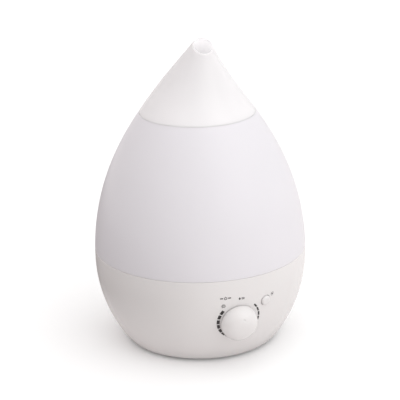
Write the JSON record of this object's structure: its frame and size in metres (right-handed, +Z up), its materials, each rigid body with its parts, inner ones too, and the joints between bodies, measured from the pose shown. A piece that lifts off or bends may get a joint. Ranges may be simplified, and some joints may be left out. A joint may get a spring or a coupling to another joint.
{
  "type": "cool mist humidifier",
  "caption": "Teardrop ultrasonic cool mist humidifier: translucent water tank on a bowl-shaped base with a mist dial, and a leaning turnable nozzle with a slanted round outlet.",
  "frame": {"origin": "centre of the whole footprint, on the surface the feet stand on", "axes": "+Z up along the body's axis, -Y towards the dial, +X to the right of someone who faces the dial"},
  "size_m": [0.205, 0.2164, 0.2995],
  "materials": {
    "white_gloss": "glossy moulded ABS",
    "tank_milky": "translucent milky polypropylene, soft gloss",
    "white_inner": "satin moulded plastic",
    "clear_lens": "clear moulded lens",
    "silicone": "translucent silicone",
    "black_rubber": "matte rubber",
    "grey_foam": "open-cell foam",
    "black_plastic": "moulded black plastic",
    "circuit_green": "solder-masked circuit board",
    "steel": "zinc-plated steel",
    "aluminium": "plain aluminium",
    "brass": "turned brass",
    "wire_red": "insulated lead"
  },
  "bodies": {
    "base": {"base_shell": "white_gloss", "water_tray": "white_inner", "transducer_disc": "aluminium", "transducer_gasket": "silicone", "transducer_clamp": "brass", "clamp_screw_1": "steel", "clamp_screw_2": "steel", "clamp_screw_3": "steel", "tray_screw_1": "steel", "tray_screw_2": "steel", "tray_screw_3": "steel", "float_retainer": "steel", "float_sensor": "black_plastic", "intake_filter": "grey_foam", "fan_housing": "black_plastic", "air_duct": "black_plastic", "driver_board": "circuit_green", "heat_sink": "aluminium", "light_lens": "clear_lens", "light_board": "circuit_green", "potentiometer_body": "steel", "potentiometer_nut": "brass", "tact_switch": "black_plastic", "switch_board": "circuit_green", "power_led": "clear_lens", "dc_inlet": "black_plastic", "bottom_cover": "white_inner", "foot_1": "black_rubber", "foot_2": "black_rubber", "foot_3": "black_rubber", "foot_4": "black_rubber", "cover_screw_1": "steel", "cover_screw_2": "steel", "cover_screw_3": "steel", "cover_screw_4": "steel", "inlet_lead": "black_rubber", "transducer_lead": "wire_red", "dial_lead": "wire_red", "fan_lead": "black_rubber"},
    "tank": {"tank_shell": "tank_milky", "tank_floor": "tank_milky", "mist_chimney": "tank_milky"},
    "filler_cap": {"tank_cap": "white_inner", "cap_gasket": "silicone", "valve_spring": "steel"},
    "valve": {"valve_plunger": "white_inner", "valve_seal": "silicone"},
    "seal_ring": {"nozzle_seal_ring": "silicone"},
    "nozzle": {"nozzle_cap": "white_gloss", "nozzle_collar": "white_gloss"},
    "float": {"float_puck": "white_inner"},
    "fan": {"fan_impeller": "black_plastic"},
    "dial": {"knob": "white_gloss", "potentiometer_shaft": "brass"},
    "light_button": {"light_button": "white_gloss"}
  },
  "joints": [
    {"name": "tank_lift", "type": "slide", "parent": "base", "child": "tank", "axis": [0, 0, 1], "range_m": [0, 0.12]},
    {"name": "nozzle_lift", "type": "slide", "parent": "tank", "child": "seal_ring", "axis": [0, 0, 1], "range_m": [0, 0.05]},
    {"name": "nozzle_turn", "type": "hinge", "parent": "seal_ring", "child": "nozzle", "pos_m": [0, 0.0059, 0.2268], "axis": [0, 0, 1], "continuous": true},
    {"name": "filler_cap_turn", "type": "hinge", "parent": "tank", "child": "filler_cap", "pos_m": [0.05, 0.0339, 0.0872], "axis": [0, 0, 1], "range_deg": [0, 70]},
    {"name": "valve_close", "type": "slide", "parent": "filler_cap", "child": "valve", "axis": [0, 0, 1], "range_m": [-0.004, 0], "deforming": ["valve_spring"]},
    {"name": "float_rise", "type": "slide", "parent": "base", "child": "float", "axis": [0, 0, 1], "range_m": [0, 0.006]},
    {"name": "fan_spin", "type": "hinge", "parent": "base", "child": "fan", "pos_m": [0, 0.0509, 0.031], "axis": [0, 0, 1], "continuous": true},
    {"name": "dial_turn", "type": "hinge", "parent": "base", "child": "dial", "pos_m": [0, -0.09158, 0.0489], "axis": [0, 0.9635, 0.2676], "range_deg": [0, 250]},
    {"name": "light_button_press", "type": "slide", "parent": "base", "child": "light_button", "axis": [-0.2726, 0.9506, 0.1487], "range_m": [0, 0.001], "stiffness_N_per_m": 600}
  ],
  "couplings": [
    {"joint": "valve_close", "follows": "tank_lift", "ratio": -0.033333}
  ]
}
